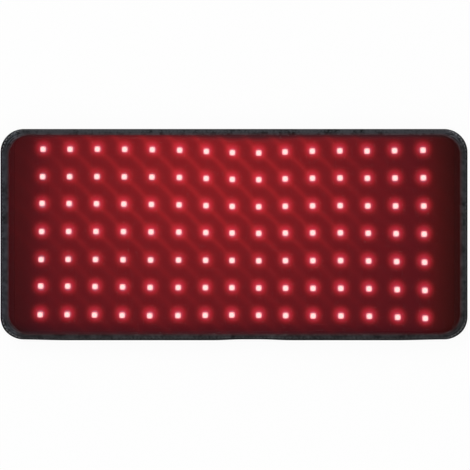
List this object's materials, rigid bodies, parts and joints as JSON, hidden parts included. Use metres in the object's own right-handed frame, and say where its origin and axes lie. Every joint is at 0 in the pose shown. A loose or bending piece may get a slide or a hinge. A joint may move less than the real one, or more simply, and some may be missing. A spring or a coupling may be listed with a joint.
{
  "type": "red light therapy belt",
  "caption": "Flexible pad of red LEDs under a clear film with a bound edge, padded back, low-voltage socket in its end and an elastic strap stowed behind. It bends round the body.",
  "frame": {"origin": "centre of the plane that the belt rests on, under the middle of the pad", "axes": "+X along the pad's long side, to the right seen from the LED side with the socket on the right; +Z out of the LED face"},
  "size_m": [0.4, 0.1808, 0.0156],
  "materials": {
    "clear_film": "clear soft film, glossy",
    "binding_tape": "charcoal woven binding tape, matt",
    "spacer_foam": "closed-cell foam, dark",
    "carrier_fabric": "coated cloth that glows red round the LEDs",
    "core_foam": "soft grey foam",
    "back_fabric": "brushed loop-pile neoprene, black",
    "led_strip": "white boards with lit red LED packages",
    "ribbon_copper": "bare copper ribbon",
    "socket_plastic": "black moulded plastic",
    "contact_metal": "nickel-plated spring metal",
    "pin_metal": "plated brass",
    "red_jacket": "red wire jacket",
    "black_jacket": "black wire jacket",
    "strap_elastic": "knitted elastic, matt black",
    "keeper_webbing": "flat webbing, black",
    "hook_tape": "hook tape, black"
  },
  "bodies": {
    "centre": {"window_film": "clear_film", "edge_binding": "binding_tape", "spacer_frame": "spacer_foam", "carrier_sheet": "carrier_fabric", "foam_core": "core_foam", "back_cover": "back_fabric", "bus_ribbon_positive": "ribbon_copper", "bus_ribbon_negative": "ribbon_copper", "elastic_strap": "strap_elastic", "led_strip_07": "led_strip", "led_strip_08": "led_strip", "led_strip_09": "led_strip"},
    "left_inner": {"led_strip_04": "led_strip", "led_strip_05": "led_strip", "led_strip_06": "led_strip", "hook_tab_left": "hook_tape"},
    "left_outer": {"led_strip_01": "led_strip", "led_strip_02": "led_strip", "led_strip_03": "led_strip", "strap_keeper_left": "keeper_webbing"},
    "right_inner": {"led_strip_10": "led_strip", "led_strip_11": "led_strip", "led_strip_12": "led_strip", "hook_tab_right": "hook_tape"},
    "right_outer": {"led_strip_13": "led_strip", "led_strip_14": "led_strip", "led_strip_15": "led_strip", "strap_keeper_right": "keeper_webbing", "inlet_housing": "socket_plastic", "inlet_sleeve": "contact_metal", "inlet_pin": "pin_metal", "feed_wire_positive": "red_jacket", "feed_wire_negative": "black_jacket"}
  },
  "joints": [
    {"name": "left_inner_fold", "type": "hinge", "parent": "centre", "child": "left_inner", "pos_m": [-0.03525, 0, 0.0156], "axis": [0, 1, 0], "range_deg": [0, 45], "stiffness_Nm_per_rad": 0.05, "deforming": ["window_film", "edge_binding", "spacer_frame", "carrier_sheet", "foam_core", "back_cover", "bus_ribbon_positive", "bus_ribbon_negative", "elastic_strap"]},
    {"name": "left_outer_fold", "type": "hinge", "parent": "left_inner", "child": "left_outer", "pos_m": [-0.10575, 0, 0.0156], "axis": [0, 1, 0], "range_deg": [0, 45], "stiffness_Nm_per_rad": 0.05, "deforming": ["window_film", "edge_binding", "spacer_frame", "carrier_sheet", "foam_core", "back_cover", "bus_ribbon_positive", "bus_ribbon_negative", "elastic_strap"]},
    {"name": "right_inner_fold", "type": "hinge", "parent": "centre", "child": "right_inner", "pos_m": [0.03525, 0, 0.0156], "axis": [0, -1, 0], "range_deg": [0, 45], "stiffness_Nm_per_rad": 0.05, "deforming": ["window_film", "edge_binding", "spacer_frame", "carrier_sheet", "foam_core", "back_cover", "bus_ribbon_positive", "bus_ribbon_negative", "elastic_strap"]},
    {"name": "right_outer_fold", "type": "hinge", "parent": "right_inner", "child": "right_outer", "pos_m": [0.10575, 0, 0.0156], "axis": [0, -1, 0], "range_deg": [0, 45], "stiffness_Nm_per_rad": 0.05, "deforming": ["window_film", "edge_binding", "spacer_frame", "carrier_sheet", "foam_core", "back_cover", "bus_ribbon_positive", "bus_ribbon_negative", "elastic_strap"]}
  ]
}
